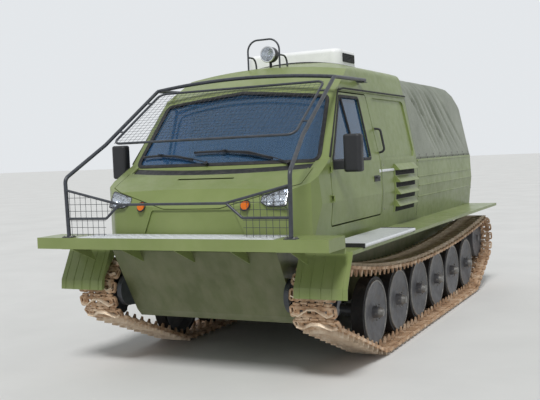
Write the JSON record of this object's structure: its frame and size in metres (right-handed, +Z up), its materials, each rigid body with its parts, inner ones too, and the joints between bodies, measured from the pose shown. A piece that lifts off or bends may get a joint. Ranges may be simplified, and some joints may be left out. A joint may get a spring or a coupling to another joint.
{
  "type": "tracked all-terrain vehicle",
  "caption": "Van-cab tracked all-terrain carrier with a sloping hull, narrow steel tracks, disc road wheels, tube brush guard, roof box and a canvas tilt over its load bed.",
  "frame": {"origin": "on the ground under the middle of the vehicle's length and width", "axes": "+Z up; the nose points along -Y, so +Y runs rearwards; +X is the vehicle's left side"},
  "size_m": [2.798, 6.086, 3.006],
  "materials": {
    "green_paint": "semi-gloss olive green paint",
    "green_hull": "semi-gloss olive green paint, dusty",
    "black_paint": "dark charcoal paint on steel tube",
    "wheel_paint": "dark grey paint, dusty",
    "bare_aluminium": "ribbed tread plate",
    "track_steel": "rusty cast shoes",
    "tyre_rubber": "solid rubber",
    "window_glass": "tinted",
    "lamp_glass": "clear lens",
    "amber_lens": "amber lens",
    "red_lens": "red lens",
    "black_plastic": "grained",
    "white_plastic": "white moulding",
    "canvas": "grey-green proofed canvas",
    "seat_cloth": "dark seat cloth",
    "engine_iron": "cast block"
  },
  "bodies": {
    "vehicle": {"hull": "green_hull", "engine": "engine_iron", "fender_left": "green_paint", "fender_right": "green_paint", "front_mudguards": "green_paint", "front_platform": "green_paint", "platform_tread": "bare_aluminium", "step_boards": "bare_aluminium", "track_left": "track_steel", "track_right": "track_steel", "road_wheels_left": "wheel_paint", "road_wheels_right": "wheel_paint", "tyres_left": "tyre_rubber", "tyres_right": "tyre_rubber", "suspension_arms": "black_paint", "drive_sprockets": "black_paint", "idlers": "wheel_paint", "cab_body": "green_paint", "cab_roof": "green_paint", "cowl": "black_plastic", "windscreen": "window_glass", "headlamps": "lamp_glass", "indicators": "amber_lens", "louvre_boxes": "green_paint", "grab_handles": "black_plastic", "load_bed": "green_paint", "tail_lamps": "red_lens", "tilt": "canvas", "roof_box": "white_plastic", "spot_lamp": "black_plastic", "lamp_hoop": "black_paint", "brush_guard": "black_paint", "seat_bases": "black_paint", "seat_cushions": "seat_cloth", "seat_backs": "seat_cloth", "dashboard": "black_plastic", "steering_column": "black_paint", "tow_hitch": "black_paint"},
    "door_left_body": {"door_left": "green_paint", "door_glass_left": "window_glass", "mirror_left": "black_plastic"},
    "door_right_body": {"door_right": "green_paint", "door_glass_right": "window_glass", "mirror_right": "black_plastic"},
    "bonnet_body": {"bonnet": "green_paint"},
    "tailgate_body": {"tailgate": "green_paint"},
    "steering_body": {"steering_wheel": "black_plastic"}
  },
  "joints": [
    {"name": "door_left_hinge", "type": "hinge", "parent": "vehicle", "child": "door_left_body", "pos_m": [1.053, -2.1095, 1.45], "axis": [0.0698, 0, -0.9976], "range_deg": [0, 60]},
    {"name": "door_right_hinge", "type": "hinge", "parent": "vehicle", "child": "door_right_body", "pos_m": [-1.053, -2.1095, 1.45], "axis": [0.0698, 0, 0.9976], "range_deg": [0, 60]},
    {"name": "bonnet_hinge", "type": "hinge", "parent": "vehicle", "child": "bonnet_body", "pos_m": [0, -2.251, 1.745], "axis": [-1, 0, 0], "range_deg": [0, 50]},
    {"name": "tailgate_hinge", "type": "hinge", "parent": "vehicle", "child": "tailgate_body", "pos_m": [0, 2.848, 1.132], "axis": [-1, 0, 0], "range_deg": [0, 90]},
    {"name": "steering_turn", "type": "hinge", "parent": "vehicle", "child": "steering_body", "pos_m": [0.46, -1.663, 1.64], "axis": [0, 0.5, 0.866], "range_deg": [-120, 120]}
  ]
}
